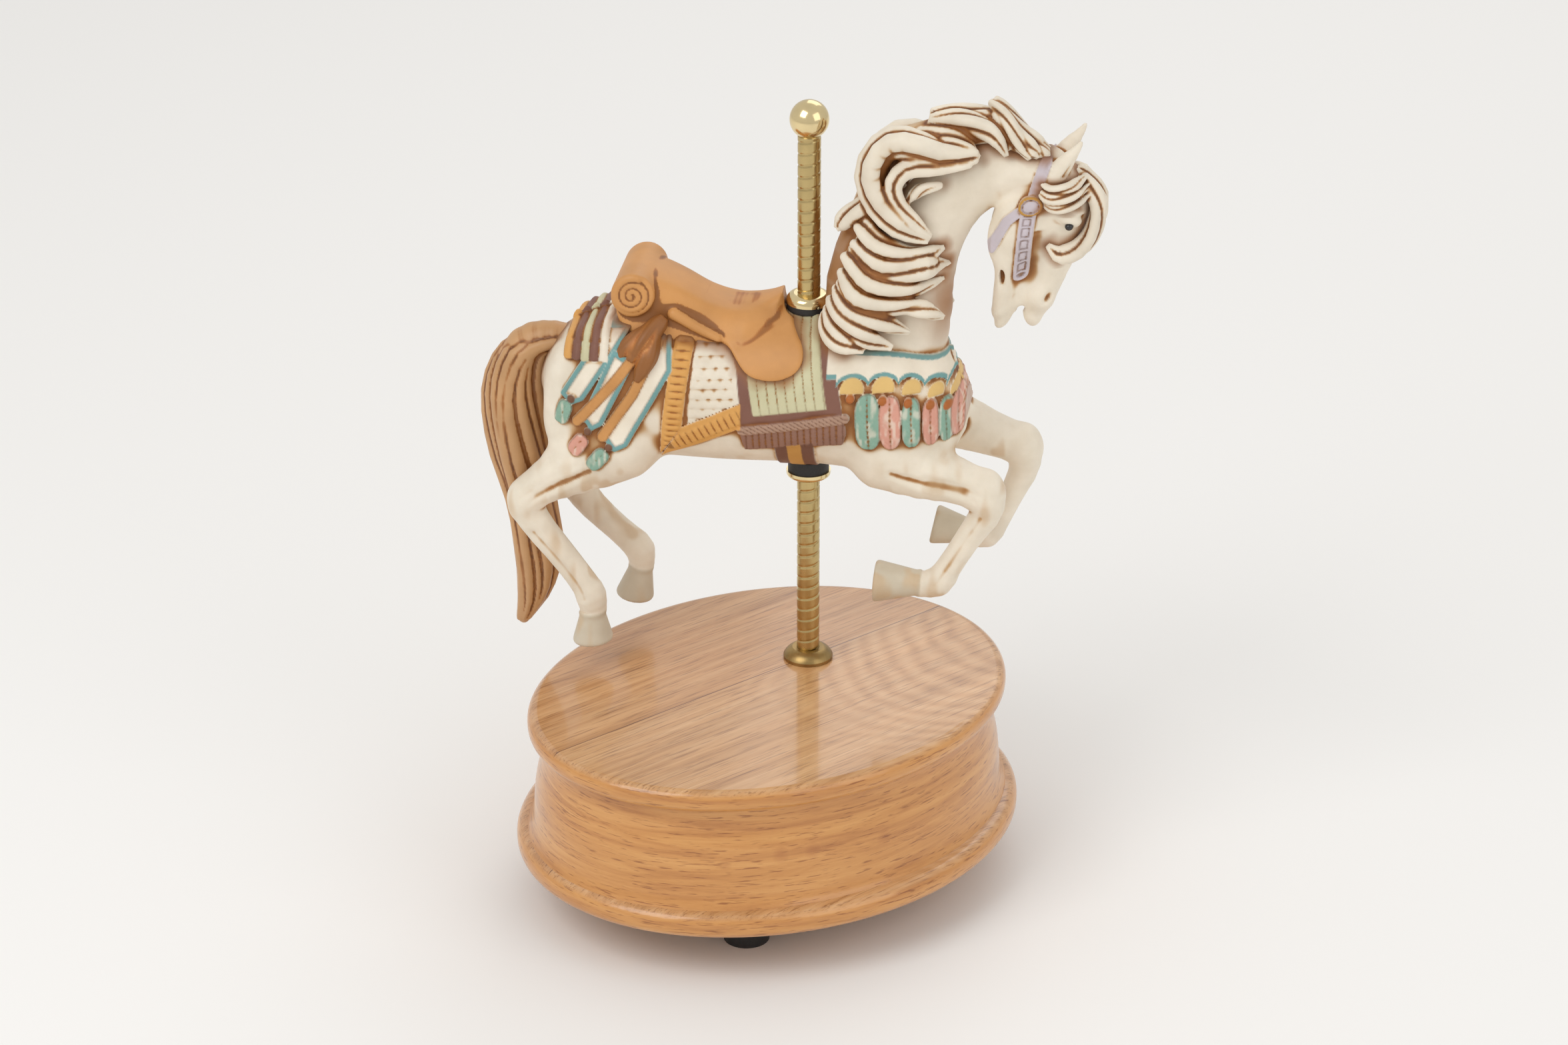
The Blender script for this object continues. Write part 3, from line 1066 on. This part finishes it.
def paint_node(node, material):
    o = frame["nodes"][node]
    o.data.materials.clear()
    o.data.materials.append(material)
    for polygon in o.data.polygons:
        polygon.material_index = 0


# ======================= build =======================
body = Field((-114, -34, 8), (110, 34, 210), FINE)
build_body(body)
saddle = Field((-75, -35, 108), (8, 35, 162), FINE)
build_saddle(saddle, body)
knot = Field((-76, -36, 108), (-38, 36, 148), FINE)
build_knot(knot)
mane = Field((0, -31, 116), (116, 31, 218), FINE)
build_mane(mane)
tail = Field((-128, -20, 6), (-68, 20, 142), FINE)
build_tail(tail)
dress(body)
dress_head(body)

bisque = bisque_material("bisque_painted", 0.5, 0.35)
satin_tan = bisque_material("bisque_saddle", 0.42, 0.4)
horse_piece = mesh_piece("horse_sculpt", body, lambda p: paint_body(p, body, (mane, saddle, tail)), bisque)
hair = paint_hair(CREAM * 0.97, 21)


def paint_mane(points):
    """The hair's own wash, with the crest under the locks left brown."""
    x, y, z = points.T
    under = step_up(1.6 - rod_distance(x, y, z, CREST, 1.3), 0, 1.4) * step_up(178 - z, 0, 12)
    return blend_colour(hair(points, mane), WASH, 0.8 * under)


mesh_piece("mane_and_forelock", mane, paint_mane, bisque)
tail_paint = paint_hair(TAIL_TAN, 23, -0.5, 0.9, 1.0)
mesh_piece("tail", tail, lambda p: tail_paint(p, tail), satin_tan)
saddle_paint = paint_hair(SADDLE_TAN, 25, 0.7, 2.4, 0.8)
knot_paint = paint_hair(SADDLE_TAN * 1.08, 27, 0.7, 3.0, 0.5)
mesh_piece("saddle", saddle, lambda p: saddle_paint(p, saddle), satin_tan)
mesh_piece("saddle_knots", knot, lambda p: knot_paint(p, knot), satin_tan)
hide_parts("horse_figure")


def eye(side):
    field = Field((88, side * 12 - 4, 157), (100, side * 12 + 4, 167), 0.25)
    field.ball((95.2, side * 10.6, 162.0), (1.6, 1.5, 1.6), 0.1)
    name = "eye_right" if side < 0 else "eye_left"
    mesh_piece(name, field, lambda p: np.tile(BLACK, (len(p), 1)), gloss)


gloss = bisque_material("eye_gloss", 0.2, 0.6)
eye(-1)
eye(1)


def spiral_pole():
    """The pole with its shallow spiral groove, in place of the plain CAD tube."""
    low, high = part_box("pole")
    radius, pitch, ring = 4.0, 4.2, 40
    groove_depth, groove_width, row_height = 0.3, 0.3, 0.35
    rows = int((high[2] - low[2]) / MM / row_height)
    turn = np.linspace(0, 2 * math.pi, ring, endpoint=False)
    verts = []
    for z in np.linspace(low[2] / MM, high[2] / MM, rows + 1):
        phase = (z / pitch - turn / (2 * math.pi)) % 1.0
        depth = groove_depth * np.exp(-((phase - 0.5) * pitch / groove_width) ** 2)
        r = radius - depth
        verts.append(np.column_stack([r * np.cos(turn), r * np.sin(turn), np.full(ring, z)]))
    verts = np.vstack(verts)
    faces = [(i * ring + j, i * ring + (j + 1) % ring, (i + 1) * ring + (j + 1) % ring, (i + 1) * ring + j)
             for i in range(rows) for j in range(ring)]
    faces += [tuple(range(ring))[::-1], tuple(rows * ring + j for j in range(ring))]
    mesh = bpy.data.meshes.new("spiral_pole")
    mesh.from_pydata(verts * MM + PLACE, [], faces)
    mesh.shade_smooth()
    piece = bpy.data.objects.new("spiral_pole", mesh)
    bpy.context.collection.objects.link(piece)
    piece.data.materials.append(brass_material("brass_pole_look", (0.58, 0.44, 0.2), 0.2, 0.14))
    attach(piece, "carousel")
    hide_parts("pole")


spiral_pole()
polished = brass_material("brass_polished", (0.84, 0.68, 0.38), 0.1, 0.12)
toned = brass_material("brass_toned", (0.45, 0.3, 0.12), 0.28, 0.4)
movement_brass = brass_material("brass_movement", (0.72, 0.56, 0.28), 0.26, 0.2)
steel = plain_material("steel", (0.58, 0.58, 0.6), 0.3, 1.0, 900, 0.08)
blued = plain_material("spring_steel_look", (0.2, 0.22, 0.27), 0.35, 1.0, 900, 0.08)
rubber = plain_material("rubber_look", (0.022, 0.022, 0.022), 0.55, 0.0, 1500, 0.15)
board = plain_material("cover_board", (0.22, 0.13, 0.07), 0.7, 0.0, 300, 0.4)
oak = oak_material()
LOOKS = {"oak": oak, "fibreboard": board, "rubber": rubber,
         "brass": polished, "brass_pole": toned, "brass_aged": toned,
         "movement_brass": movement_brass, "plated_steel": steel, "spring_steel": blued, "bisque": bisque}
for entry in frame["record"]["subparts"]:
    if entry["node"] in frame["nodes"]:
        paint_node(entry["node"], LOOKS[entry["material_slot"]])


# ======================= stage =======================
LAMPS = (
    ("key", (-0.7, -0.9, 1.3), 0.9, 7.5),
    ("fill", (1.1, -0.7, 0.9), 1.0, 3.0),
    ("back", (0.2, 1.2, 1.2), 1.0, 3.0),
)


def stage():
    mesh = bpy.data.meshes.new("floor")
    mesh.from_pydata([(-6, -6, 0), (6, -6, 0), (6, 6, 0), (-6, 6, 0)], [], [(0, 1, 2, 3)])
    floor = bpy.data.objects.new("floor", mesh)
    bpy.context.collection.objects.link(floor)
    m, n, l, s = new_material("floor")
    s.inputs["Base Color"].default_value = (0.94, 0.93, 0.91, 1)
    s.inputs["Roughness"].default_value = 0.75
    floor.data.materials.append(m)
    world = bpy.data.worlds.new("studio")
    bpy.context.scene.world = world
    world.use_nodes = True
    world.node_tree.nodes["Background"].inputs[0].default_value = (1.0, 0.99, 0.975, 1)
    world.node_tree.nodes["Background"].inputs[1].default_value = 0.68
    for name, place, size, power in LAMPS:
        lamp = bpy.data.lights.new(name, "AREA")
        lamp.size, lamp.energy = size, power
        o = bpy.data.objects.new(name, lamp)
        bpy.context.collection.objects.link(o)
        o.location = PLACE + place
        aim = np.array((0, 0, 0.14)) - np.array(place)
        o.rotation_euler = Vector(aim).to_track_quat("-Z", "Y").to_euler()
    scene = bpy.context.scene
    scene.view_settings.view_transform = "Standard"
    cam = bpy.data.cameras.new("camera")
    cam.lens, cam.sensor_width = 103.8, 36.0
    o = bpy.data.objects.new("camera", cam)
    bpy.context.collection.objects.link(o)
    azimuth, elevation, distance = math.radians(8), math.radians(25.3), 1.595
    right = np.array((math.cos(azimuth), math.sin(azimuth), 0))
    level = math.cos(elevation)
    back = np.array((math.sin(azimuth) * level, -math.cos(azimuth) * level, math.sin(elevation)))
    aim = PLACE - right * 0.0086 + np.array((0, 0, (TOP + 53) * MM))
    o.location = aim + back * distance
    o.rotation_euler = Vector(-back).to_track_quat("-Z", "Y").to_euler()
    scene.camera = o


stage()
